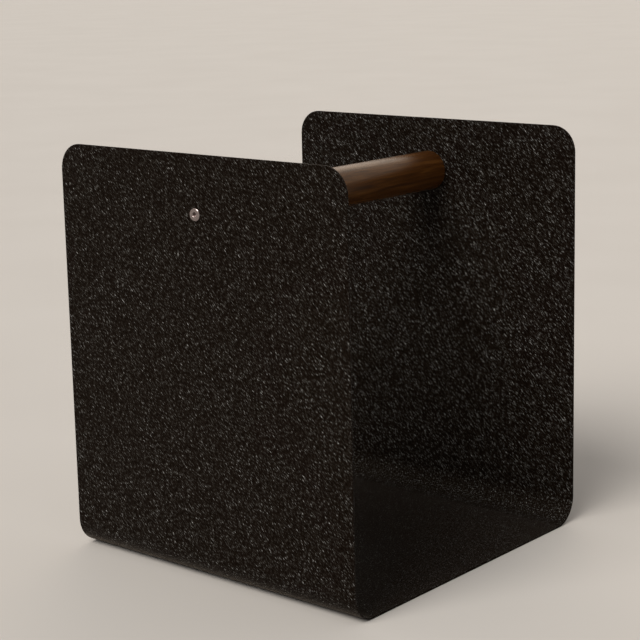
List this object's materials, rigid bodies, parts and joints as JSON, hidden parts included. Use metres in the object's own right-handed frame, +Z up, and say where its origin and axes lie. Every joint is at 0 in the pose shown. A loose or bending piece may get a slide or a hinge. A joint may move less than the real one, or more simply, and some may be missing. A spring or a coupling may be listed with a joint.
{
  "type": "log storage box",
  "caption": "Open-ended fireside log holder: a bent steel sheet with two side panels and a floor, and a round wooden carrying handle between the panels.",
  "frame": {"origin": "on the ground, under the middle of the holder", "axes": "+X across from the left panel to the right, along the handle; +Y from the front opening to the back one; +Z up"},
  "size_m": [0.3532, 0.35, 0.4],
  "materials": {
    "black_coat": "textured black powder coat with fine silver-grey flecks",
    "dark_wood": "oiled walnut, satin",
    "screw_steel": "stainless steel, satin",
    "insert_brass": "machined"
  },
  "bodies": {
    "root": {"steel_cradle": "black_coat", "handle": "dark_wood", "left_handle_screw": "screw_steel", "right_handle_screw": "screw_steel", "left_threaded_insert": "insert_brass", "right_threaded_insert": "insert_brass"}
  },
  "joints": []
}
